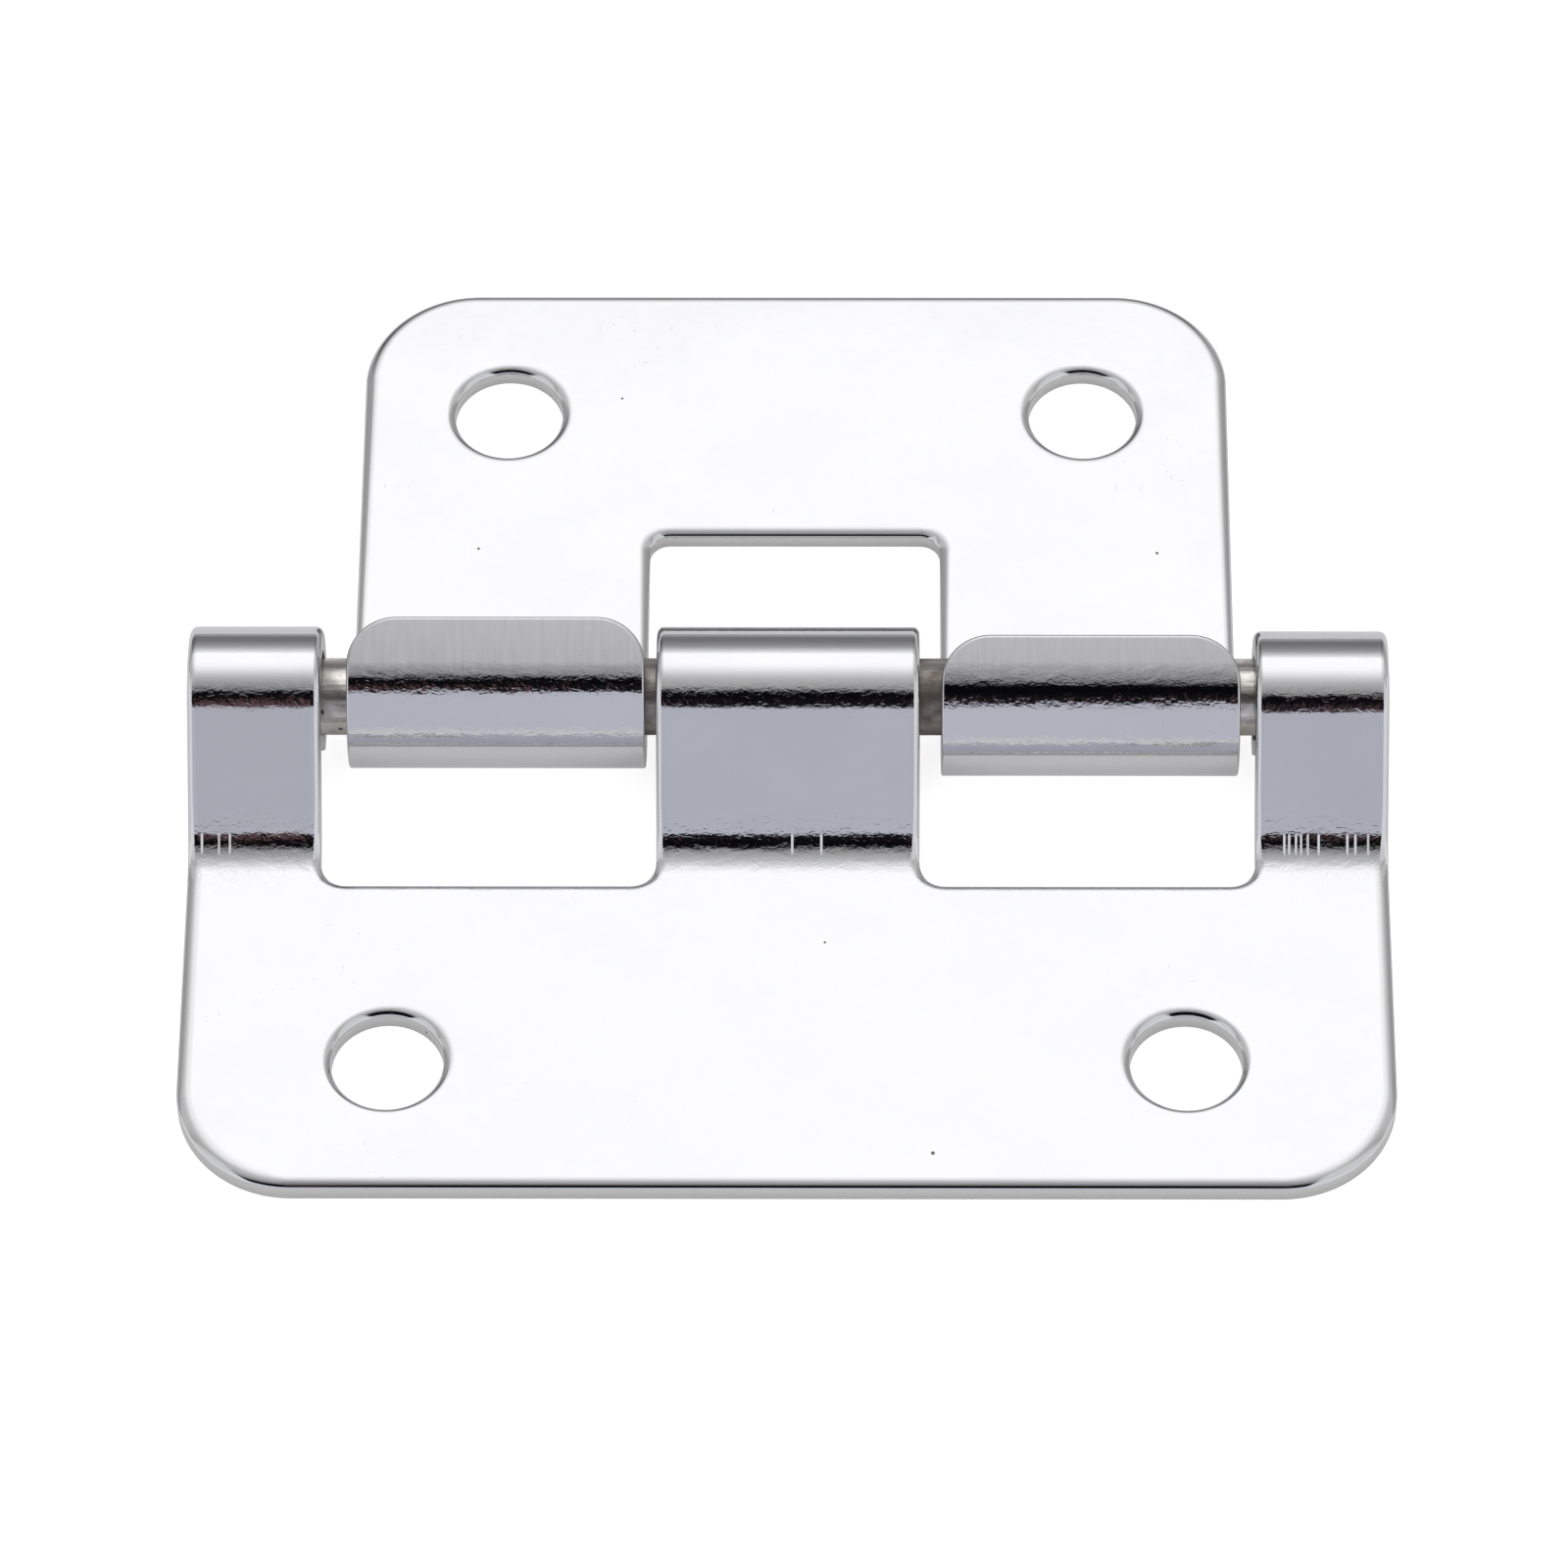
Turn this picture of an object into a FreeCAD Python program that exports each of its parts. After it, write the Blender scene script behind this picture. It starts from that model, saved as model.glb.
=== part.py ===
"""Box hinge: two stamped sheet leaves whose knuckles curl round one plain pin.

The hinge lies open and flat. X runs along the pin, Y from the wide leaf at the
front to the narrow leaf at the back, and Z up from the surface it lies on.
The origin is under the middle of the open hinge. All lengths are millimetres.
"""
import FreeCAD, Part
import math
import os

V = FreeCAD.Vector

# Sheet and pin
sheet = 0.9                  # thickness of both leaves
pin_diameter = 3.0
curl_slack = 0.33            # room round the pin in a curl that is centred on it
edge_roll = 0.25             # the punch draws the show side's edge down by this much
edge_roll_blend = 0.20       # flatter bevel between that roll and the flat of the sheet
back_edge_break = 0.10       # slight break along the other side of the narrow leaf

# Wide leaf, in front, with an outer knuckle at each end and one in the middle
wide_width = 46.5
front_reach = 21.4           # pin axis to front edge
centre_knuckle = 10.2        # width of the middle knuckle
window_width = 13.0
window_reach = 7.4           # pin axis to the front edge of the windows
window_corner = 1.0
ramp_angle = 46.5            # slope of the strips where they rise to the pin
rise_bend = 2.4              # radius of the hollow bend at the foot of that slope
curl_wrap = 245.0            # how far the strips curl round the pin
curl_forward = 0.15          # the wide leaf's curls lie this far ahead of the pin
curl_lift = 0.20             # and this far above it, because the pin sinks in them
right_curl_forward = 0.25    # the curl at the right end is set a little lower
right_curl_lift = 0.07

# Narrow leaf, behind, with two knuckles that hook up in front of the pin
narrow_width = 34.6
back_reach = 21.75           # pin axis to back edge
notch_width = 11.5
notch_reach = 9.55           # pin axis to the back edge of the notch
notch_corner = 0.8
hook_drop = 0.27             # the hooks hang on the pin by this much
hook_front_slope = 52.0      # slope of the short flat in front of the pin
tongue_slope = 18.5          # the tongues still rise to the back
tongue_corner = 1.9
side_float = 0.2             # the narrow leaf sits this far to the right

# The two hooks are bent by hand tools and differ: the right one is rounder
left_hook_slack = 0.33       # room round the pin at the lower bend
left_hook_back = 0.12        # the lower bend lies this far behind the pin
left_hook_flat = 0.7         # short flat in front of the pin
left_hook_bend = 2.5         # outer radius of the bend over the pin
left_tongue = 1.9            # straight end behind that bend
right_hook_slack = 0.25
right_hook_back = -0.27
right_hook_flat = 0.41
right_hook_bend = 3.6
right_tongue = 1.17

# Screw holes and outer corners
hole_diameter = 4.3
hole_reach = 15.65           # pin axis to the screw holes of either leaf
wide_hole_spacing = 30.5
narrow_hole_spacing = 23.0
corner_radius = 4.5

# Pin ends
pin_recess = 0.2             # each end lies this far inside the outer knuckle
pin_chamfer = 0.25

# Sizes that follow
pin_radius = pin_diameter / 2
curl_inner = pin_radius + curl_slack
curl_outer = curl_inner + sheet
pin_height = curl_outer + hook_drop
pin_y = (front_reach - back_reach) / 2
above = 2 * pin_height + left_tongue


def turned(direction, degrees):
    """The direction turned in the YZ plane, positive from +Y towards +Z."""
    angle = math.radians(degrees)
    y = direction.y * math.cos(angle) - direction.z * math.sin(angle)
    z = direction.y * math.sin(angle) + direction.z * math.cos(angle)
    return V(0, y, z)


def run(length):
    """A straight stretch of sheet."""
    return (length, 0.0)


def bend(radius, degrees):
    """A bend of the outer face, positive to the left of the way it is walked."""
    return (radius, degrees)


def walk(point, direction, moves):
    """Edges of the outer face and of the inner one, a sheet to its right."""
    outer = []
    inner = []
    for size, degrees in moves:
        across = turned(direction, -90) * sheet
        if degrees == 0:
            end = point + direction * size
            outer.append(Part.LineSegment(point, end).toShape())
            inner.append(Part.LineSegment(point + across, end + across).toShape())
        else:
            side = math.copysign(1, degrees)
            spoke = turned(direction, -90 * side)
            centre = point - spoke * size
            middle_spoke = turned(spoke, degrees / 2)
            end_spoke = turned(spoke, degrees)
            end = centre + end_spoke * size
            for edges, radius in ((outer, size), (inner, size + side * sheet)):
                ends = [centre + s * radius for s in (spoke, middle_spoke, end_spoke)]
                edges.append(Part.Arc(*ends).toShape())
            direction = turned(direction, degrees)
        point = end
    return outer, inner


def bent_sheet(strips):
    """One sheet from strips side by side, each (left, right, outer, inner)."""
    solids = []
    for left, right, outer, inner in strips:
        first = Part.LineSegment(outer[0].Vertexes[0].Point, inner[0].Vertexes[0].Point)
        last = Part.LineSegment(outer[-1].Vertexes[-1].Point, inner[-1].Vertexes[-1].Point)
        edges = outer + inner + [first.toShape(), last.toShape()]
        section = Part.Face(Part.Wire(Part.__sortEdges__(edges)))
        section.translate(V(left, 0, 0))
        solids.append(section.extrude(V(right - left, 0, 0)))
    return solids[0].fuse(solids[1:]).removeSplitter()


def face_of(strips, side):
    """The outer (2) or inner (3) face of the strips, to find the edges on it."""
    surfaces = []
    for strip in strips:
        surface = Part.Wire(strip[side]).extrude(V(strip[1] - strip[0], 0, 0))
        surface.translate(V(strip[0], 0, 0))
        surfaces.append(surface)
    return Part.makeCompound(surfaces)


def upright_edges(solid, y, tolerance=0.01):
    """Edges along Z that stand at the given Y."""
    found = []
    for edge in solid.Edges:
        start = edge.Vertexes[0].Point
        end = edge.Vertexes[-1].Point
        along_z = abs(start.x - end.x) + abs(start.y - end.y) < tolerance
        if along_z and abs(start.y - y) < tolerance and abs(start.z - end.z) > tolerance:
            found.append(edge)
    return found


def opening_block(left, width, near_y, far_y, corner):
    """Block that cuts an opening, with the two corners at near_y rounded."""
    low_y = min(near_y, far_y)
    block = Part.makeBox(width, abs(far_y - near_y), 2 * above, V(left, low_y, -above))
    return block.makeFillet(corner, upright_edges(block, near_y))


def screw_holes(centre_x, y, spacing):
    """Two upright cylinders that cut the screw holes of a leaf."""
    radius = hole_diameter / 2
    cutters = []
    for side in (-1, 1):
        foot = V(centre_x + side * spacing / 2, y, -above)
        cutters.append(Part.makeCylinder(radius, 2 * above, foot))
    return cutters


def crease_edges(solid, surface, tolerance=0.001):
    """Edges on the surface at which the solid turns by more than 30 degrees."""
    found = []
    for edge in solid.Edges:
        middle = edge.valueAt((edge.FirstParameter + edge.LastParameter) / 2)
        if surface.distToShape(Part.Vertex(middle))[0] > tolerance:
            continue
        faces = solid.ancestorsOfType(edge, Part.Face)
        if len(faces) != 2:
            continue
        normals = [face.normalAt(*face.Surface.parameter(middle)) for face in faces]
        if normals[0].getAngle(normals[1]) > math.radians(30):
            found.append(edge)
    return found


def roll_edges(leaf, show_side):
    """The rolled edge along the show side: a steep bevel, then a flatter one."""
    leaf = leaf.makeChamfer(edge_roll, crease_edges(leaf, show_side))
    return leaf.makeChamfer(edge_roll_blend, crease_edges(leaf, show_side))


def tongue_end_edges(solid, point, across):
    """The short edges across the sheet at the two corners of each tongue."""
    found = []
    for edge in solid.Edges:
        ends = [vertex.Point for vertex in edge.Vertexes]
        if len(ends) != 2:
            continue
        flat = [V(0, end.y, end.z) for end in ends]
        targets = (point, point + across)
        fits = all(min(end.distanceToPoint(t) for t in targets) < 0.01 for end in flat)
        if fits and flat[0].distanceToPoint(flat[1]) > sheet / 2:
            found.append(edge)
    return found


def wide_section(forward, lift):
    """Plate, rising slope and curl of the wide leaf, walked from the front edge."""
    centre = V(0, pin_y - forward, pin_height + lift)
    ramp = math.radians(ramp_angle)
    # the slope touches the curl here, and its line meets the plate at the foot
    touch = centre + V(0, -math.sin(ramp), math.cos(ramp)) * curl_outer
    slope_length = (touch.z - sheet) / math.sin(ramp)
    foot_y = touch.y - slope_length * math.cos(ramp)
    tangent = rise_bend * math.tan(ramp / 2)
    front_y = pin_y - front_reach
    moves = [
        run(foot_y - tangent - front_y),
        bend(rise_bend, ramp_angle),
        run(slope_length - tangent),
        bend(curl_outer, -curl_wrap),
    ]
    return walk(V(0, front_y, sheet), V(0, 1, 0), moves)


def make_wide_leaf():
    """Front leaf: plate with two windows, three strips rise and curl over the pin."""
    half = wide_width / 2
    seam = (centre_knuckle + window_width) / 2
    strips = [
        (-half, seam, *wide_section(curl_forward, curl_lift)),
        (seam, half, *wide_section(right_curl_forward, right_curl_lift)),
    ]
    leaf = bent_sheet(strips)
    leaf = leaf.makeFillet(corner_radius, upright_edges(leaf, pin_y - front_reach))
    cutters = screw_holes(0, pin_y - hole_reach, wide_hole_spacing)
    near_y = pin_y - window_reach
    far_y = pin_y + 2 * curl_outer
    for window_left in (-centre_knuckle / 2 - window_width, centre_knuckle / 2):
        cutters.append(opening_block(window_left, window_width, near_y, far_y, window_corner))
    leaf = leaf.cut(cutters)
    return roll_edges(leaf, face_of(strips, 2))


def narrow_section(slack, back, flat, over_bend, tongue):
    """Plate, lower bend, short flat, bend over the pin and tongue of one hook."""
    lower_bend = pin_radius + slack + sheet
    back_y = pin_y + back_reach
    moves = [
        run(back_y - pin_y - back),
        bend(lower_bend, hook_front_slope - 180),
        run(flat),
        bend(over_bend, tongue_slope - hook_front_slope),
        run(tongue),
    ]
    return walk(V(0, back_y, 0), V(0, -1, 0), moves)


def make_narrow_leaf():
    """Back leaf: plate that passes under the pin and hooks up and over it."""
    left = side_float - narrow_width / 2
    left_section = narrow_section(
        left_hook_slack, left_hook_back, left_hook_flat, left_hook_bend, left_tongue)
    right_section = narrow_section(
        right_hook_slack, right_hook_back, right_hook_flat, right_hook_bend, right_tongue)
    strips = [
        (left, side_float, *left_section),
        (side_float, left + narrow_width, *right_section),
    ]
    leaf = bent_sheet(strips)
    leaf = leaf.makeFillet(corner_radius, upright_edges(leaf, pin_y + back_reach))
    cutters = screw_holes(side_float, pin_y + hole_reach, narrow_hole_spacing)
    near_y = pin_y + notch_reach
    far_y = pin_y - 2 * curl_outer
    notch_left = side_float - notch_width / 2
    cutters.append(opening_block(notch_left, notch_width, near_y, far_y, notch_corner))
    leaf = leaf.cut(cutters)
    for outer, inner in (left_section, right_section):
        tip = outer[-1].Vertexes[-1].Point
        across = inner[-1].Vertexes[-1].Point - tip
        leaf = leaf.makeFillet(tongue_corner, tongue_end_edges(leaf, tip, across))
    leaf = roll_edges(leaf, face_of(strips, 3))
    return leaf.makeChamfer(back_edge_break, crease_edges(leaf, face_of(strips, 2)))


def make_hinge_pin():
    """Plain round pin through all the knuckles."""
    length = wide_width - 2 * pin_recess
    start = V(-length / 2, pin_y, pin_height)
    pin = Part.makeCylinder(pin_radius, length, start, V(1, 0, 0))
    rims = [edge for edge in pin.Edges if len(edge.Vertexes) == 1]
    return pin.makeChamfer(pin_chamfer, rims)


def main():
    os.makedirs("parts", exist_ok=True)
    nodes = {
        "wide_leaf": make_wide_leaf(),
        "narrow_leaf": make_narrow_leaf(),
        "hinge_pin": make_hinge_pin(),
    }
    for name, shape in nodes.items():
        solid = shape.Solids[0] if shape.ShapeType != "Solid" else shape
        solid.exportStep(f"parts/{name}.step")
        box = solid.BoundBox
        print(name, "valid", solid.isValid(), "volume", round(solid.Volume, 2),
              "y", round(box.YMin, 3), round(box.YMax, 3),
              "z", round(box.ZMin, 3), round(box.ZMax, 3))


main()
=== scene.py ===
"""Box hinge: two bright plated sheet leaves on a wire pin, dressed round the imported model.

Each leaf starts as the flat blank that the press cuts. Its edges are rolled as the punch
rolls them, and the blank is then bent along the section of the solid that it stands for.
Meshes are worked out in millimetres and brought to metres at the end.
"""
import math
from collections import namedtuple

import bmesh
import bpy
from bpy.props import FloatProperty, FloatVectorProperty, PointerProperty
from mathutils import Matrix, Vector


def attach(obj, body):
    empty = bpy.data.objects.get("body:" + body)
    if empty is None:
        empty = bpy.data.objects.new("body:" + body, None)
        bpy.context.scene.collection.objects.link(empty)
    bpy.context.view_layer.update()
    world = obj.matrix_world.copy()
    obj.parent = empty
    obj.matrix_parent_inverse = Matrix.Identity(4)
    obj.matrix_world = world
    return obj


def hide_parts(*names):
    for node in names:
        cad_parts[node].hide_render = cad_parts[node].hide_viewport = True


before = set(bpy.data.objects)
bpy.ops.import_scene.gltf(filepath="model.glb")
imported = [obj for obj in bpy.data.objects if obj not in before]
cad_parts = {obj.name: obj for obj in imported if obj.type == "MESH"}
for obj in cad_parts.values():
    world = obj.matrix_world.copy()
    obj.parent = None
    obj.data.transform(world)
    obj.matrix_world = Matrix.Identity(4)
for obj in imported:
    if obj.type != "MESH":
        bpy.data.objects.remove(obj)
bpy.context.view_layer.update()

bl_info = {
    "name": "Box Hinge",
    "version": (1, 0, 0),
    "blender": (4, 5, 0),
    "location": "View3D > Sidebar > Hinge",
    "description": "Builds the leaves, the pin and the stage of a small box hinge",
    "category": "Object",
}

MM = 0.001
BEND_STEP = math.radians(3)      # a bend is cut across at every step of this size
EASE = 0.05                      # a cut this far outside a bend keeps the flat beside it flat
HOLLOW_REACH = 1.2               # the ripples of a hollow bend die out this far outside it
HOLLOW_EDGE = 0.60               # and have this share where it starts
ROUND_REACH = 0.4                # the same for the bends round the pin
ROUND_EDGE = 0.28
RIPPLE_RISE = 0.3                # ripples are in full this far inside a bend
RIPPLE_SPAN = 0.75               # and die down again this far inside a long one
RIPPLE_FADE = 0.35               # over this length
RIPPLE_LEFT = 0.10               # to this share
STRIP_DRAW = 0.4                 # the strips' rolled edges are narrower by this share
STRIP_EASE = 1.5                 # reached over this length
MERGE = 0.0005                   # points nearer than this are one, in millimetres
SHARP_ANGLE = math.radians(40)   # edges sharper than this are shaded as edges
FLAT_ANGLE = math.radians(0.5)   # faces of the blank nearer than this to one plane are one
BURR = 0.04                      # break of the edges on the wide leaf's underside
SIDE_REACH = 1.2                 # a strip's rolled side ends within this many roll widths
RIM_REACH = 2                    # and a hole's rolled rim within this many
HOLE_STEPS, CORNER_STEPS, INNER_STEPS, TONGUE_STEPS = 112, 32, 12, 20   # edges of the rounds
PIN_STEPS, TENT_STEPS = 96, 64
# Where the bending tool marked the hollow bends, in millimetres along the pin. A colour ramp
# is only 256 steps fine, so each covers no more than MARK_SPAN from the place that it starts at
TOOL_MARKS = {
    -23.0: (-22.7, -22.04, -21.62),
    -1.0: (0.17, 1.30),
    19.0: (19.22, 19.41, 19.67, 19.87, 20.13, 20.55, 21.66, 21.97, 22.46),
}
MARK_SPAN = 4.0
MARK_WIDTH = 0.04                # from the middle of a mark to its side
MARK_DEPTH = 1.8                 # in depths of the ripples
MARK_START, MARK_END, MARK_FADE = 15.22, 16.06, 0.10   # where they lie along the blank
WORN_START, WORN_FULL, WORN_END = 28.9, 29.6, 31.8     # the tongues' worn part in the blank
SHEAR_FADE = 0.03                # over this height the cut wall goes from smooth to torn
DARKER_NEAR, DARKER_FAR = 7, 14      # the wire gets darker towards its middle, fading out between these distances from it
SHADE_LOW, SHADE_HIGH = 2.0, 3.6   # painted shade darkens its lower side, fading out between these heights, in millimetres
PHOTO_SIDE = 1600                # the photo's width and height in pixels
SENSOR = 36.0                    # sensor width in millimetres, Blender's usual one

Stretch = namedtuple("Stretch", "start length y z heading radius turn")
Roll = namedtuple("Roll", "width depth profile lean hole_width")
# Edge profiles from the cut wall to the flat, as shares of the roll's width and depth
PUNCHED = ((0, 0), (0.018, 0.085), (0.035, 0.151), (0.055, 0.218), (0.077, 0.283),
           (0.105, 0.350), (0.14, 0.424), (0.21, 0.546), (0.28, 0.665), (0.35, 0.755),
           (0.42, 0.825), (0.50, 0.885), (0.587, 0.934), (0.68, 0.967), (0.783, 0.986), (1, 1))
BROKEN = ((0, 0), (0.08, 0.38), (0.29, 0.71), (0.62, 0.92), (1, 1))


def length_setting(name, description, value, least=None, precision=5):
    """A length, given in millimetres."""
    limits = {} if least is None else {"min": least * MM}
    return FloatProperty(
        name=name, description=description, default=value * MM, subtype="DISTANCE",
        unit="LENGTH", precision=precision, **limits)


def lengths_setting(name, description, values):
    """A few lengths that belong together, given in millimetres."""
    return FloatVectorProperty(
        name=name, description=description, default=[value * MM for value in values],
        size=len(values), unit="LENGTH", precision=5)


def angle_setting(name, description, degrees):
    """An angle, given in degrees."""
    return FloatProperty(
        name=name, description=description, default=math.radians(degrees), subtype="ANGLE",
        unit="ROTATION")


def colour_setting(name, description, value):
    """A colour of a metal, of dirt and painted shade, or of the floor."""
    return FloatVectorProperty(
        name=name, description=description, default=value, size=3, min=0.0, max=1.0,
        subtype="COLOR")


class SheetSizes(bpy.types.PropertyGroup):
    """Sizes that both leaves share."""

    thickness: length_setting(
        "Thickness", "Thickness of the sheet both leaves are cut from", 0.9, least=0.1)
    roll_depth: length_setting(
        "Roll depth", "How far the punch draws the show side's edge down", 0.225, least=0.01)
    roll_width: length_setting(
        "Roll width", "How far that rolled edge reaches into the flat", 0.55, least=0.01)
    hole_roll_width: length_setting(
        "Hole roll width", "The same at the rims of the screw holes", 0.44, least=0.01)
    roll_lean: FloatProperty(
        name="Roll lean", description="How much more the roll reaches in from the front than "
        "from behind, as a share of its width", default=0.3, min=0.0, max=0.9)
    corner_radius: length_setting(
        "Corner radius", "Radius of the leaves' outer corners", 4.5, least=0.5)
    hole_diameter: length_setting(
        "Hole diameter", "Diameter of the screw holes", 4.3, least=0.5)
    hole_reach: length_setting(
        "Hole reach", "From the pin axis to the screw holes of either leaf", 15.65, least=0.0)


class WideLeafSizes(bpy.types.PropertyGroup):
    """Sizes of the front leaf."""

    width: length_setting("Width", "Width of the leaf along the pin", 46.5, least=10)
    reach: length_setting("Reach", "From the pin axis to the front edge", 21.4, least=5)
    centre_knuckle: length_setting(
        "Middle knuckle", "Width of the middle knuckle", 10.2, least=1)
    window_width: length_setting(
        "Window width", "Width of each of the two windows", 13.0, least=1)
    window_reach: length_setting(
        "Window reach", "From the pin axis to the windows' front edge", 7.4, least=1)
    window_corner: length_setting(
        "Window corner", "Radius of the windows' front corners", 1.0, least=0.1)
    ramp_angle: angle_setting("Slope", "Slope of the strips where they rise to the pin", 45.7)
    rise_bend: length_setting(
        "Rise bend", "Radius of the hollow bend at the foot of that slope", 2.4, least=0.2)
    curl_radius: length_setting(
        "Curl radius", "Outer radius of the curls round the pin", 2.73, least=0.5)
    curl_wrap: angle_setting("Curl wrap", "How far the strips curl round the pin", 245)
    curl_offset: lengths_setting(
        "Curl offset", "How far the curls lie ahead of the pin and above it", (0.15, 0.20))
    right_curl_offset: lengths_setting(
        "Right curl offset", "The same for the curl at the right end", (0.25, 0.07))
    hole_spacing: length_setting(
        "Hole spacing", "Between the middles of the two screw holes", 30.5, least=1)


class NarrowLeafSizes(bpy.types.PropertyGroup):
    """Sizes of the back leaf."""

    width: length_setting("Width", "Width of the leaf along the pin", 34.6, least=10)
    reach: length_setting("Reach", "From the pin axis to the back edge", 21.75, least=5)
    notch_width: length_setting(
        "Notch width", "Width of the notch for the middle knuckle", 11.5, least=1)
    notch_reach: length_setting(
        "Notch reach", "From the pin axis to the notch's back edge", 9.55, least=1)
    notch_corner: length_setting(
        "Notch corner", "Radius of the notch's corners", 0.8, least=0.1)
    side_float: length_setting(
        "Side float", "How far the leaf sits to the right on its pin", 0.2)
    front_slope: angle_setting("Front slope", "Slope of the short flat in front of the pin", 52)
    tongue_slope: angle_setting("Tongue slope", "Slope of the tongues over the pin", 18.5)
    tongue_corner: length_setting(
        "Tongue corner", "Radius of the tongues' corners", 1.9, least=0.1)
    left_hook: lengths_setting(
        "Left hook", "Its lower bend's radius and its place behind the pin", (2.73, 0.12))
    left_tongue: lengths_setting(
        "Left tongue",
        "Front flat, bend radius over the pin, and straight end", (0.7, 2.5, 1.9))
    right_hook: lengths_setting(
        "Right hook", "Its lower bend's radius and its place behind the pin", (2.65, -0.27))
    right_tongue: lengths_setting(
        "Right tongue",
        "Front flat, bend radius over the pin, and straight end", (0.41, 3.6, 1.17))
    edge_break: length_setting(
        "Edge break", "Rounding of the edges on the side that lies down", 0.12, least=0.01)
    hole_spacing: length_setting(
        "Hole spacing", "Between the middles of the two screw holes", 23.0, least=1)


class PinSizes(bpy.types.PropertyGroup):
    """Sizes and place of the wire pin."""

    diameter: length_setting("Diameter", "Diameter of the wire", 3.0, least=0.5)
    length: length_setting(
        "Length", "Length of the pin, a little less than the wide leaf", 46.1, least=5)
    height: length_setting(
        "Height", "Height of the pin axis over the underside", 3.0, least=0.5)
    y: length_setting("Place", "Place of the pin axis across the hinge", -0.175)
    chamfer: length_setting("Chamfer", "Chamfer of the pin's ends", 0.25, least=0.02)


class FinishSettings(bpy.types.PropertyGroup):
    """Colours and surface detail of the metals."""

    plating: colour_setting(
        "Plating", "Reflected colour of the bright plating", (0.675, 0.675, 0.68))
    tarnish: colour_setting(
        "Tarnish", "The same where the plating is a little cloudy", (0.66, 0.66, 0.665))
    scratch: colour_setting("Scratch", "Colour of the hair scratches", (0.52, 0.52, 0.53))
    worn: colour_setting(
        "Worn", "Reflected colour of the streaky plating on the tongues", (0.50, 0.50, 0.51))
    speck: colour_setting("Speck", "Colour of pits and specks of dirt", (0.10, 0.09, 0.085))
    cut_edge: colour_setting(
        "Cut edge", "Reflected colour of the plated cut edges", (0.64, 0.635, 0.625))
    ripple: length_setting(
        "Ripple",
        "Depth of the fine waves left in the plated surface", 0.017, least=0.0, precision=6)
    wire: colour_setting("Wire", "Reflected colour of the dull steel wire", (0.72, 0.70, 0.67))
    wire_dark: colour_setting(
        "Dark wire", "The same where the wire has gone dull", (0.50, 0.47, 0.43))
    # Colour of the wire's dirt patches, and also its painted shade on the lower side and its
    # darker part near the middle knuckle
    grime_and_shade: colour_setting("Grime", "Colour of the dirt on the wire", (0.20, 0.17, 0.145))


class StageSettings(bpy.types.PropertyGroup):
    """Floor, soft lights and camera."""

    floor: colour_setting("Floor", "Colour of the floor", (0.74, 0.74, 0.74))
    floor_lift: FloatProperty(
        name="Floor lift", description="White added to the floor as the camera sees it",
        default=0.81, min=0.0, max=1.0)
    metal_lift: FloatProperty(
        name="Floor lift in metal", description="The same as metal and glass see it",
        default=0.28, min=0.0, max=1.0)
    elevation: angle_setting(
        "Elevation", "How far above level the camera looks down from", 54.3)
    azimuth: angle_setting("Azimuth", "How far the camera stands round to the side", 0.8)
    roll: angle_setting("Roll", "Roll of the camera", 0.6)
    distance: length_setting(
        "Distance", "From the camera to the pin, along the view", 360, least=10)
    scale: FloatProperty(
        name="Scale", description="Pixels of the photo to a millimetre at the pin",
        default=26.2, min=1.0)
    pin_pixel: FloatVectorProperty(
        name="Pin pixel", description="Where the middle of the pin axis is in the photo",
        default=(804.5, 711.0), size=2)


def mm(*lengths):
    """Lengths of a property in millimetres."""
    values = [length / MM for length in lengths]
    return values[0] if len(values) == 1 else values


def point_on(stretch, along, depth):
    """Y, Z and heading at a distance along the stretch, at a depth to the right of it."""
    heading = stretch.heading
    y, z = stretch.y, stretch.z
    if stretch.turn:
        side = math.copysign(1.0, stretch.turn)
        heading += side * along / stretch.radius
        y += side * stretch.radius * (math.sin(heading) - math.sin(stretch.heading))
        z -= side * stretch.radius * (math.cos(heading) - math.cos(stretch.heading))
    else:
        y += along * math.cos(heading)
        z += along * math.sin(heading)
    return y + depth * math.sin(heading), z - depth * math.cos(heading), heading


def walk(y, z, heading, moves):
    """One face of a sheet as stretches, from (length, 0) runs and (radius, turn) bends."""
    stretches = []
    start = 0.0
    for size, turn in moves:
        length = size * abs(turn) if turn else size
        stretch = Stretch(start, length, y, z, heading, size, turn)
        stretches.append(stretch)
        y, z, heading = point_on(stretch, length, 0.0)
        start += length
    return stretches


def walked_length(stretches):
    """How long a face of the sheet is from end to end."""
    return stretches[-1].start + stretches[-1].length


def wide_section(sheet, leaf, pin, offset):
    """Plate, rising slope and curl of the wide leaf, walked on the show side."""
    forward, lift = mm(*offset)
    thickness, pin_y, height = mm(sheet.thickness, pin.y, pin.height)
    curl, rise, reach = mm(leaf.curl_radius, leaf.rise_bend, leaf.reach)
    ramp = leaf.ramp_angle
    touch_y = pin_y - forward - math.sin(ramp) * curl
    touch_z = height + lift + math.cos(ramp) * curl
    slope_length = (touch_z - thickness) / math.sin(ramp)
    foot_y = touch_y - slope_length * math.cos(ramp)
    tangent = rise * math.tan(ramp / 2)
    front_y = pin_y - reach
    moves = [
        (foot_y - tangent - front_y, 0),
        (rise, ramp),
        (slope_length - tangent, 0),
        (curl, -leaf.curl_wrap),
    ]
    return walk(front_y, thickness, 0.0, moves)


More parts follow.
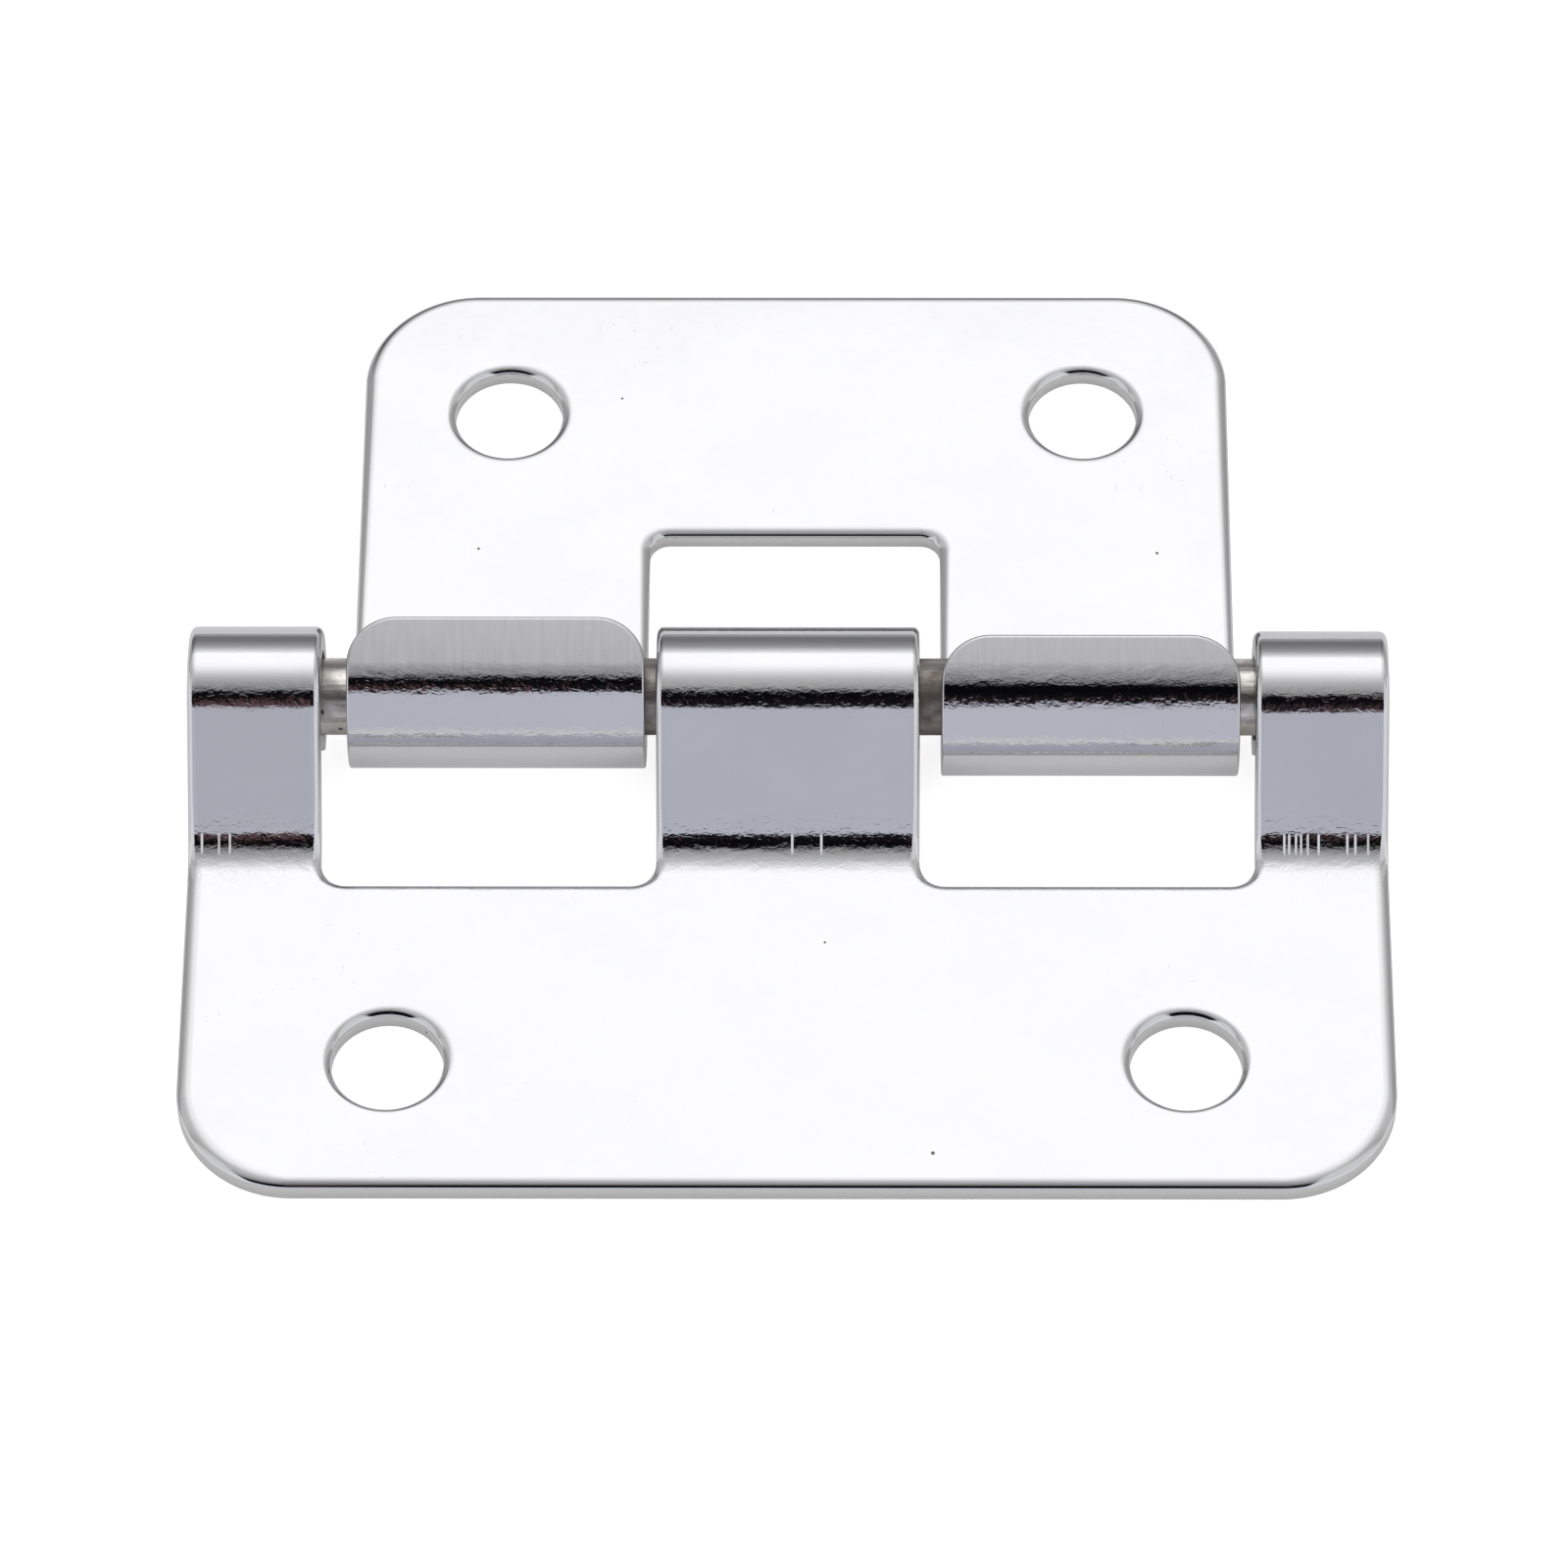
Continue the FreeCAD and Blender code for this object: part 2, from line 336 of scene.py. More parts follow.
def narrow_section(leaf, pin, hook, tongue):
    """Plate, lower bend, front flat, bend over the pin and tongue, walked underneath."""
    lower_bend, back = mm(*hook)
    flat, over_bend, end = mm(*tongue)
    reach, pin_y = mm(leaf.reach, pin.y)
    moves = [
        (reach - back, 0),
        (lower_bend, leaf.front_slope - math.pi),
        (flat, 0),
        (over_bend, leaf.tongue_slope - leaf.front_slope),
        (end, 0),
    ]
    return walk(pin_y + reach, 0.0, math.pi, moves)


def flat_blank(outline, corners, holes, hole_radius):
    """The flat outline with rounded corners and holes, filled and split at the holes."""
    bm = bmesh.new()
    verts = [bm.verts.new((x, s, 0)) for x, s in outline]
    bm.faces.new(verts)
    for radius, segments, indices in corners:
        bmesh.ops.bevel(
            bm, geom=[verts[i] for i in indices], offset=radius, offset_type="OFFSET",
            segments=segments, profile=0.5, affect="VERTICES", material=-1,
            clamp_overlap=False)
        bm.verts.ensure_lookup_table()
    bmesh.ops.delete(bm, geom=bm.faces[:], context="FACES_ONLY")
    for x, s in holes:
        bmesh.ops.create_circle(
            bm, cap_ends=False, radius=hole_radius, segments=HOLE_STEPS,
            matrix=Matrix.Translation((x, s, 0)))
    bmesh.ops.triangle_fill(bm, use_beauty=True, use_dissolve=False, edges=bm.edges[:])
    for x, s in holes:
        everything = bm.verts[:] + bm.edges[:] + bm.faces[:]
        cut = bmesh.ops.bisect_plane(
            bm, geom=everything, dist=MERGE, plane_co=(x, 0, 0), plane_no=(1, 0, 0))["geom_cut"]
        for part in cut:
            if isinstance(part, bmesh.types.BMEdge):
                part.seam = True
    bmesh.ops.dissolve_limit(
        bm, angle_limit=FLAT_ANGLE, use_dissolve_boundaries=False, verts=bm.verts[:],
        edges=bm.edges[:], delimit={"SEAM"})
    return bm


def thicken(bm, top, bottom):
    """Makes the flat blank a plate from top to bottom, and returns those two sides."""
    bmesh.ops.recalc_face_normals(bm, faces=bm.faces)
    bmesh.ops.translate(bm, verts=bm.verts, vec=(0, 0, top))
    extruded = bmesh.ops.extrude_face_region(bm, geom=bm.faces[:])["geom"]
    moved = [part for part in extruded if isinstance(part, bmesh.types.BMVert)]
    bmesh.ops.translate(bm, verts=moved, vec=(0, 0, bottom - top))
    bmesh.ops.recalc_face_normals(bm, faces=bm.faces)
    middle = (top + bottom) / 2
    flat = [face for face in bm.faces if abs(face.normal.z) > 0.5]
    upper = [face for face in flat if face.calc_center_median().z > middle]
    lower = [face for face in flat if face.calc_center_median().z < middle]
    return upper, lower


def round_side(bm, faces, roll, direction, holes, hole_radius):
    """Rounds the edge of one side along the roll's profile."""
    rings = [(roll.width * (b[0] - a[0]), roll.depth * (b[1] - a[1]))
             for a, b in zip(roll.profile, roll.profile[1:])]
    rings.append((EASE, 0.0))
    before = set(bm.verts)
    for inwards, outwards in rings:
        bmesh.ops.inset_region(
            bm, faces=faces, use_boundary=True, use_even_offset=True, thickness=inwards)
        verts = list(dict.fromkeys(vert for face in faces for vert in face.verts))
        shift = (0, roll.lean * inwards, direction * outwards)
        bmesh.ops.translate(bm, verts=verts, vec=shift)
    for vert in [vert for vert in bm.verts if vert not in before]:
        for x, s in holes:
            spoke = Vector((vert.co.x - x, vert.co.y - s))
            if spoke.length < hole_radius + RIM_REACH * roll.width:
                rim = spoke.normalized() * hole_radius
                drawn = rim + (spoke - rim) * roll.hole_width / roll.width
                vert.co.xy = (x + drawn.x, s + drawn.y)
    bmesh.ops.triangulate(bm, faces=faces, quad_method="BEAUTY", ngon_method="BEAUTY")


def cut_across(bm, stretches, on_side):
    """Cuts the plate across wherever it bends, so that it can."""
    cuts = []
    for stretch in stretches:
        if stretch.turn:
            count = math.ceil(abs(stretch.turn) / BEND_STEP)
            cuts += [stretch.start + stretch.length * i / count for i in range(count + 1)]
            for reach in (EASE, HOLLOW_REACH if stretch.turn > 0 else ROUND_REACH):
                cuts += [stretch.start - reach, stretch.start + stretch.length + reach]
    faces = [face for face in bm.faces if on_side(face.calc_center_median().x)]
    edges = dict.fromkeys(edge for face in faces for edge in face.edges)
    verts = dict.fromkeys(vert for face in faces for vert in face.verts)
    geometry = faces + list(edges) + list(verts)
    for cut in sorted(cuts):
        geometry = bmesh.ops.bisect_plane(
            bm, geom=geometry, dist=MERGE, plane_co=(0, cut, 0), plane_no=(0, 1, 0))["geom"]


def narrow_sides(bm, sides, first, last, reach):
    """Draws the rolled edges along the strips' sides in towards the cut walls."""
    for vert in bm.verts:
        inside = min(vert.co.y - first, last - vert.co.y)
        if inside > 0:
            share = STRIP_DRAW * min(inside / STRIP_EASE, 1.0)
            for x in sides:
                if abs(vert.co.x - x) < reach:
                    vert.co.x -= (vert.co.x - x) * share


def ripple_share(stretches, s):
    """How strong the ripples of the bends are at s, from 0 to 1."""
    share = 0.0
    for stretch in stretches:
        if stretch.turn:
            hollow = stretch.turn > 0
            edge = HOLLOW_EDGE if hollow else ROUND_EDGE
            reach = HOLLOW_REACH if hollow else ROUND_REACH
            inside = min(s - stretch.start, stretch.start + stretch.length - s)
            if inside > 0:
                fading = max(1 - (inside - RIPPLE_SPAN) / RIPPLE_FADE, RIPPLE_LEFT)
                near = min(edge + (1 - edge) * inside / RIPPLE_RISE, fading)
            else:
                near = edge * (1 + inside / reach)
            share = max(share, min(near, 1.0))
    return share


def bend_plate(bm, left, right, seam):
    """Bends the plate along its sections, and keeps each point's flat place as its blank."""
    blank = bm.verts.layers.float_vector.new("blank")
    rippled = bm.verts.layers.float.new("rippled")
    for vert in bm.verts:
        vert[blank] = vert.co * MM
        stretches = left if vert.co.x < seam else right
        vert[rippled] = ripple_share(stretches, vert.co.y)
        stretch = next((s for s in reversed(stretches) if vert.co.y >= s.start), stretches[0])
        y, z, _ = point_on(stretch, vert.co.y - stretch.start, -vert.co.z)
        vert.co = (vert.co.x, y, z)


def sort_faces(bm):
    """Puts the faces in one order, because the operators' own differs from run to run."""
    bm.verts.index_update()
    by_verts = sorted(bm.faces, key=lambda face: sorted(vert.index for vert in face.verts))
    ranks = {face: rank for rank, face in enumerate(by_verts)}
    bm.faces.sort(key=lambda face: ranks[face])


def finished_piece(bm, name, material, body, node):
    """Turns the bmesh into an object in metres that stands for a node of the model."""
    bmesh.ops.remove_doubles(bm, verts=bm.verts, dist=MERGE)
    bmesh.ops.recalc_face_normals(bm, faces=bm.faces)
    sort_faces(bm)
    bmesh.ops.scale(bm, vec=(MM, MM, MM), verts=bm.verts)
    mesh = bpy.data.meshes.new(name)
    bm.to_mesh(mesh)
    bm.free()
    mesh.shade_smooth()
    mesh.set_sharp_from_angle(angle=SHARP_ANGLE)
    mesh.materials.append(material)
    piece = bpy.data.objects.new(name, mesh)
    bpy.context.scene.collection.objects.link(piece)
    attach(piece, body)
    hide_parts(node)
    return piece


def screw_holes(sheet, leaf, middle):
    """The middles of the leaf's two screw holes in its blank."""
    s = mm(leaf.reach - sheet.hole_reach)
    return [(middle + side * mm(leaf.hole_spacing) / 2, s) for side in (-1, 1)]


def punched_roll(sheet, lean):
    """The rolled edge along the side that shows."""
    width, depth, hole_width = mm(sheet.roll_width, sheet.roll_depth, sheet.hole_roll_width)
    return Roll(width, depth, PUNCHED, lean, hole_width)


def build_leaf(sheet, outline, corners, holes, left, right, seam, top, bottom, strips):
    """Cuts the blank, thickens it, rounds the edges of both its sides and bends it."""
    thickness, hole_radius = mm(sheet.thickness, sheet.hole_diameter / 2)
    bm = flat_blank(outline, corners, holes, hole_radius)
    upper, lower = thicken(bm, -top.depth, bottom.depth - thickness)
    round_side(bm, upper, top, 1, holes, hole_radius)
    round_side(bm, lower, bottom, -1, holes, hole_radius)
    everything = bm.verts[:] + bm.edges[:] + bm.faces[:]
    bmesh.ops.bisect_plane(
        bm, geom=everything, dist=MERGE, plane_co=(seam, 0, 0), plane_no=(1, 0, 0))
    cut_across(bm, left, lambda x: x < seam)
    cut_across(bm, right, lambda x: x > seam)
    narrow_sides(bm, *strips, SIDE_REACH * max(top.width, bottom.width))
    bend_plate(bm, left, right, seam)
    return bm


def node(tree, kind, label="", **inputs):
    """A new shader node, with the values of its inputs by name."""
    made = tree.nodes.new(kind)
    made.label = label
    for name, value in inputs.items():
        made.inputs[name.replace("_", " ").title()].default_value = value
    return made


def maths(tree, operation, first, second=0.0, third=None, clamp=False):
    """A Math node's output, from sockets or numbers."""
    made = tree.nodes.new("ShaderNodeMath")
    made.operation = operation
    made.use_clamp = clamp
    for socket, value in zip(made.inputs, (first, second, third)):
        if isinstance(value, bpy.types.NodeSocket):
            tree.links.new(value, socket)
        elif value is not None:
            socket.default_value = value
    return made.outputs[0]


def effect_group(name, inputs, outputs):
    """A node group with named inputs (name, kind, default) and outputs (name, kind)."""
    group = bpy.data.node_groups.new(name, "ShaderNodeTree")
    for label, kind, default in inputs:
        socket = group.interface.new_socket(name=label, in_out="INPUT", socket_type=kind)
        if default is not None:
            socket.default_value = default
    for label, kind in outputs:
        group.interface.new_socket(name=label, in_out="OUTPUT", socket_type=kind)
    return group, group.nodes.new("NodeGroupInput"), group.nodes.new("NodeGroupOutput")


def stretched(tree, vector, scale, turn=0.0):
    """The vector scaled by three factors, after a turn about the third axis."""
    mapping = node(tree, "ShaderNodeMapping", scale=scale, rotation=(0.0, 0.0, turn))
    tree.links.new(vector, mapping.inputs["Vector"])
    return mapping.outputs["Vector"]


def noise(tree, vector, scale, turn=0.0, detail=1.0, warp=0.0):
    """Noise from 0 to 1 that repeats about scale times in a metre, by axis."""
    made = node(tree, "ShaderNodeTexNoise", scale=1.0, detail=detail, roughness=0.5,
                distortion=warp)
    tree.links.new(stretched(tree, vector, scale, turn), made.inputs["Vector"])
    return made.outputs["Fac"]


def smooth_step(tree, value, low, high):
    """From 0 at low to 1 at high, with soft ends."""
    made = node(tree, "ShaderNodeMapRange", from_min=low, from_max=high)
    made.interpolation_type = "SMOOTHSTEP"
    tree.links.new(value, made.inputs["Value"])
    return made.outputs["Result"]


def mixed(tree, share, first, second):
    """A colour between two, each a socket or a colour."""
    made = tree.nodes.new("ShaderNodeMix")
    made.data_type = "RGBA"
    tree.links.new(share, made.inputs["Factor"])
    for socket, value in zip((made.inputs[6], made.inputs[7]), (first, second)):
        if isinstance(value, bpy.types.NodeSocket):
            tree.links.new(value, socket)
        else:
            socket.default_value = (*value, 1)
    return made.outputs[2]


def multiplied(tree, first, second):
    """The product of two colours."""
    made = tree.nodes.new("ShaderNodeVectorMath")
    made.operation = "MULTIPLY"
    tree.links.new(first, made.inputs[0])
    tree.links.new(second, made.inputs[1])
    return made.outputs["Vector"]


def band_ramp(tree, fac, bands, span):
    """A colour ramp over fac, from (place, colour) pairs whose places run up to span."""
    made = tree.nodes.new("ShaderNodeValToRGB")
    stops = made.color_ramp
    while len(stops.elements) > 1:
        stops.elements.remove(stops.elements[-1])
    stops.elements[0].position = 0.0
    for index, (place, colour) in enumerate(bands):
        stop = stops.elements[0] if index == 0 else stops.elements.new(place / span)
        stop.color = (*colour, 1)
    tree.links.new(fac, made.inputs["Fac"])
    return made.outputs["Color"]


def split(tree, vector):
    """The X, Y and Z of a vector, by name."""
    made = tree.nodes.new("ShaderNodeSeparateXYZ")
    tree.links.new(vector, made.inputs["Vector"])
    return made.outputs


def ripple_group():
    """Torn waves where the metal was bent and faint ones elsewhere, as a height."""
    group, given, result = effect_group(
        "Ripple",
        [("Vector", "NodeSocketVector", None), ("Strength", "NodeSocketFloat", 1.0),
         ("Calm", "NodeSocketFloat", 0.05)],
        [("Height", "NodeSocketFloat")])
    vector = given.outputs["Vector"]
    broad = noise(group, vector, (1300, 2500, 2500), detail=0.0, warp=0.6)
    torn = noise(group, vector, (3300, 5800, 5800), detail=1.0, warp=1.2)
    waves = maths(group, "MULTIPLY_ADD", broad, 0.52,
                  maths(group, "MULTIPLY_ADD", torn, 0.48, -0.5))
    share = maths(group, "MAXIMUM", given.outputs["Strength"], given.outputs["Calm"])
    group.links.new(maths(group, "MULTIPLY", waves, share), result.inputs["Height"])
    return group


def scratch_group():
    """Hair scratches along and across, here and there, as a mask."""
    group, given, result = effect_group(
        "Scratches",
        [("Vector", "NodeSocketVector", None), ("Amount", "NodeSocketFloat", 0.5)],
        [("Mask", "NodeSocketFloat")])
    vector = given.outputs["Vector"]
    patches = smooth_step(group, noise(group, vector, (150, 170, 170)), 0.56, 0.68)
    along = smooth_step(group, noise(group, vector, (9000, 1800, 1800), turn=0.07), 0.72, 0.79)
    slanted = smooth_step(group, noise(group, vector, (2200, 8000, 8000), turn=0.6), 0.74, 0.80)
    lines = maths(group, "MAXIMUM", along, slanted)
    shown = maths(group, "MULTIPLY", maths(group, "MULTIPLY", lines, patches),
                  given.outputs["Amount"])
    group.links.new(shown, result.inputs["Mask"])
    return group


def speck_group():
    """Small pits and specks of dirt, as a mask."""
    group, given, result = effect_group(
        "Specks",
        [("Vector", "NodeSocketVector", None), ("Spread", "NodeSocketFloat", 520.0),
         ("Size", "NodeSocketFloat", 0.055)],
        [("Mask", "NodeSocketFloat")])
    cells = node(group, "ShaderNodeTexVoronoi", randomness=1.0)
    group.links.new(given.outputs["Vector"], cells.inputs["Vector"])
    group.links.new(given.outputs["Spread"], cells.inputs["Scale"])
    parts = group.nodes.new("ShaderNodeSeparateColor")
    group.links.new(cells.outputs["Color"], parts.inputs["Color"])
    radius = maths(group, "MULTIPLY", parts.outputs["Red"], given.outputs["Size"])
    near = maths(group, "LESS_THAN", cells.outputs["Distance"], radius)
    chosen = maths(group, "GREATER_THAN", parts.outputs["Green"], 0.55)
    group.links.new(maths(group, "MULTIPLY", near, chosen), result.inputs["Mask"])
    return group


def tarnish_group():
    """Cloudy patches where the plating has lost a little of its gloss, as a mask."""
    group, given, result = effect_group(
        "Tarnish", [("Vector", "NodeSocketVector", None)], [("Mask", "NodeSocketFloat")])
    vector = given.outputs["Vector"]
    clouds = noise(group, vector, (170, 230, 230), detail=3.0, warp=0.4)
    grain = noise(group, vector, (1500, 1500, 1500), detail=2.0)
    both = maths(group, "MULTIPLY_ADD", clouds, 0.75, maths(group, "MULTIPLY", grain, 0.25))
    group.links.new(smooth_step(group, both, 0.36, 0.64), result.inputs["Mask"])
    return group


def group_node(tree, name, make, vector, **inputs):
    """One use of a shared group, which is made at its first use."""
    made = node(tree, "ShaderNodeGroup", name)
    made.node_tree = bpy.data.node_groups.get(name) or make()
    for label, value in inputs.items():
        made.inputs[label.title()].default_value = value
    tree.links.new(vector, made.inputs["Vector"])
    return made


def shaded(owner, kind, output_kind):
    """The node tree of a new material or world, with one shader on its output."""
    owner.use_nodes = True
    tree = owner.node_tree
    tree.nodes.clear()
    shader = tree.nodes.new(kind)
    output = tree.nodes.new(output_kind)
    tree.links.new(shader.outputs[0], output.inputs["Surface"])
    return tree, shader


def new_material(name, kind="ShaderNodeBsdfPrincipled"):
    """A material with one shader of that kind."""
    material = bpy.data.materials.new(name)
    return material, *shaded(material, kind, "ShaderNodeOutputMaterial")


def tool_marks(tree, vector):
    """Grooves that the bending tool left across the hollow bends, as a height."""
    parts = split(tree, vector)
    height = 1.0
    for first, marks in TOOL_MARKS.items():
        across = maths(tree, "MULTIPLY_ADD", parts["X"], 1 / (MARK_SPAN * MM),
                       -first / MARK_SPAN, clamp=True)
        stops = [(0.0, (1, 1, 1))]
        for x in marks:
            for offset, level in ((-MARK_WIDTH, 1), (0, 0), (MARK_WIDTH, 1)):
                stops.append((x + offset - first, (level,) * 3))
        height = maths(tree, "MINIMUM", band_ramp(tree, across, stops, MARK_SPAN), height)
    start, end = MARK_START * MM, MARK_END * MM
    inside = maths(
        tree, "MULTIPLY", smooth_step(tree, parts["Y"], start, start + MARK_FADE * MM),
        smooth_step(tree, parts["Y"], end, end - MARK_FADE * MM))
    depth = maths(tree, "SUBTRACT", 1.0, height)
    return maths(tree, "MULTIPLY", maths(tree, "MULTIPLY", depth, inside), -1.0)


def sheared_wall(tree, vector, top, bottom):
    """Mask of the torn lower part of the cut edges, from its heights in the blank."""
    z = split(tree, vector)["Z"]
    edge = SHEAR_FADE * MM
    return maths(tree, "MULTIPLY", smooth_step(tree, z, top, top - edge),
                 smooth_step(tree, z, bottom, bottom + edge))


def worn_tongues(tree, vector):
    """Mask of the streaks along the tongues, which fade towards their ends."""
    along = split(tree, vector)["Y"]
    full = WORN_FULL * MM
    begun = smooth_step(tree, along, WORN_START * MM, full)
    fading = smooth_step(tree, along, full, WORN_END * MM)
    left = maths(tree, "MULTIPLY", begun, maths(tree, "MULTIPLY_ADD", fading, -0.3, 1.0))
    streaks = noise(tree, vector, (5200, 420, 420), detail=2.0)
    return maths(tree, "MULTIPLY", left, maths(tree, "MULTIPLY_ADD", streaks, 0.9, 0.4),
                 clamp=True)


def bright_plating(name, finish, wall, marked):
    """Polished plating over pressed sheet: clear reflections that tear in the bends."""
    material, tree, shader = new_material(name)
    place = node(tree, "ShaderNodeAttribute", "flat place in the blank")
    place.attribute_name = "blank"
    flat_place = place.outputs["Vector"]
    bent = node(tree, "ShaderNodeAttribute", "share of the bends' ripples")
    bent.attribute_name = "rippled"
    ripple = group_node(tree, "Ripple", ripple_group, flat_place)
    tree.links.new(bent.outputs["Fac"], ripple.inputs["Strength"])
    scratches = group_node(tree, "Scratches", scratch_group, flat_place, amount=0.6)
    specks = group_node(tree, "Specks", speck_group, flat_place)
    tarnish = group_node(tree, "Tarnish", tarnish_group, flat_place)
    torn = sheared_wall(tree, flat_place, *wall)
    clouded = mixed(tree, tarnish.outputs["Mask"], finish.plating, finish.tarnish)
    rough_cut = mixed(tree, torn, clouded, finish.cut_edge)
    if not marked:
        rough_cut = mixed(tree, worn_tongues(tree, flat_place), rough_cut, finish.worn)
    scratched = mixed(tree, scratches.outputs["Mask"], rough_cut, finish.scratch)
    colour = mixed(tree, specks.outputs["Mask"], scratched, finish.speck)
    tree.links.new(colour, shader.inputs["Base Color"])
    shader.inputs["Metallic"].default_value = 1.0
    gloss = maths(tree, "MULTIPLY_ADD", tarnish.outputs["Mask"], 0.03, 0.04)
    worn = maths(tree, "MULTIPLY_ADD", scratches.outputs["Mask"], 0.25, gloss)
    roughness = maths(tree, "MULTIPLY_ADD", torn, 0.22, worn, clamp=True)
    tree.links.new(roughness, shader.inputs["Roughness"])
    striations = maths(tree, "MULTIPLY", torn, noise(tree, flat_place, (5200, 5200, 900)))
    height = maths(tree, "MULTIPLY_ADD", striations, 0.35, ripple.outputs["Height"])
    height = maths(tree, "MULTIPLY_ADD", scratches.outputs["Mask"], -0.06, height)
    height = maths(tree, "MULTIPLY_ADD", specks.outputs["Mask"], -0.25, height)
    if marked:
        height = maths(tree, "MULTIPLY_ADD", tool_marks(tree, flat_place), MARK_DEPTH,
                       height)
    bump = node(tree, "ShaderNodeBump", strength=1.0, distance=finish.ripple)
    tree.links.new(height, bump.inputs["Height"])
    tree.links.new(bump.outputs["Normal"], shader.inputs["Normal"])
    return material


def dull_steel(finish):
    """Drawn wire, dull, with patches of dirt, darker near the middle knuckle, and painted shade
    on its lower side.
    """
    material, tree, shader = new_material("drawn_wire")
    place = tree.nodes.new("ShaderNodeTexCoord").outputs["Object"]
    parts = split(tree, place)
    outwards = maths(tree, "ABSOLUTE", parts["X"])
    # Darker towards the middle knuckle
    inner = smooth_step(tree, outwards, DARKER_FAR * MM, DARKER_NEAR * MM)
    # Painted shade: the wire's lower side is darkened towards the grime colour
    low = smooth_step(tree, parts["Z"], SHADE_HIGH * MM, SHADE_LOW * MM)
    patches = smooth_step(tree, noise(tree, place, (700, 900, 900), detail=3.0), 0.40, 0.62)
    # This mask holds the dirt patches, the darkening near the middle and the painted shade
    # below
    dirt_and_shade = maths(tree, "MULTIPLY_ADD", inner, 0.55, maths(tree, "MULTIPLY", low, 0.4))
    dirt_and_shade = maths(tree, "MULTIPLY_ADD", patches, 0.45, dirt_and_shade, clamp=True)
    specks = group_node(tree, "Specks", speck_group, place, spread=1500.0, size=0.2)
    scratches = group_node(tree, "Scratches", scratch_group, place, amount=1.0)
    tarnish = group_node(tree, "Tarnish", tarnish_group, place)
    bare = mixed(tree, tarnish.outputs["Mask"], finish.wire, finish.wire_dark)
    # The grime colour paints dirt and shade alike
    dirty_and_shaded = mixed(tree, dirt_and_shade, bare, finish.grime_and_shade)
    colour = mixed(tree, specks.outputs["Mask"], dirty_and_shaded, finish.speck)
    tree.links.new(colour, shader.inputs["Base Color"])
    # The same mask makes the dirty and shaded parts less metallic and rougher
    metal = maths(tree, "MULTIPLY_ADD", dirt_and_shade, -0.55, 1.0)
    tree.links.new(metal, shader.inputs["Metallic"])
    tree.links.new(maths(tree, "MULTIPLY_ADD", dirt_and_shade, 0.36, 0.12), shader.inputs["Roughness"])
    drawn = noise(tree, place, (400, 6500, 6500), detail=2.0)
    lumps = noise(tree, place, (2600, 2600, 2600), detail=2.0)
    height = maths(tree, "MULTIPLY_ADD", lumps, 0.8, drawn)
    height = maths(tree, "MULTIPLY_ADD", scratches.outputs["Mask"], -0.5, height)
    bump = node(tree, "ShaderNodeBump", strength=1.0, distance=finish.ripple)
    tree.links.new(height, bump.inputs["Height"])
    tree.links.new(bump.outputs["Normal"], shader.inputs["Normal"])
    return material


class HINGE_OT_wide_leaf(bpy.types.Operator):
    """Cuts, rolls and bends the front leaf"""

    bl_idname = "hinge.wide_leaf"
    bl_label = "Wide leaf"

    def execute(self, context):
        scene = context.scene
        sheet, leaf, pin = scene.hinge_sheet, scene.hinge_wide_leaf, scene.hinge_pin
        left = wide_section(sheet, leaf, pin, leaf.curl_offset)
        right = wide_section(sheet, leaf, pin, leaf.right_curl_offset)
        half, knuckle = mm(leaf.width / 2, leaf.centre_knuckle / 2)
        window = mm(leaf.window_width)
        near = mm(leaf.reach - leaf.window_reach)
        outer = knuckle + window
        left_end, right_end = walked_length(left), walked_length(right)
        outline = [
            (-half, 0), (half, 0), (half, right_end), (outer, right_end),
            (outer, near), (knuckle, near), (knuckle, left_end), (-knuckle, left_end),
            (-knuckle, near), (-outer, near), (-outer, left_end), (-half, left_end),
        ]
        corners = [
            (mm(sheet.corner_radius), CORNER_STEPS, (0, 1)),
            (mm(leaf.window_corner), INNER_STEPS, (4, 5, 8, 9)),
        ]
        seam = knuckle + window / 2
        roll = punched_roll(sheet, sheet.roll_lean)
        burr = Roll(BURR, BURR, BROKEN, 0.0, BURR)
        sides = [side * x for side in (-1, 1) for x in (knuckle, outer, half)]
        strips = (sides, near + mm(leaf.window_corner), left_end)
        bm = build_leaf(sheet, outline, corners, screw_holes(sheet, leaf, 0.0), left, right,
                        seam, roll, burr, strips)
        plating = bright_plating(
            "polished_plating_front", scene.hinge_finish,
            (-roll.depth * MM, -mm(sheet.thickness) * MM), True)
        finished_piece(bm, "wide_leaf_sheet", plating, "wide_leaf", "wide_leaf")
        return {"FINISHED"}


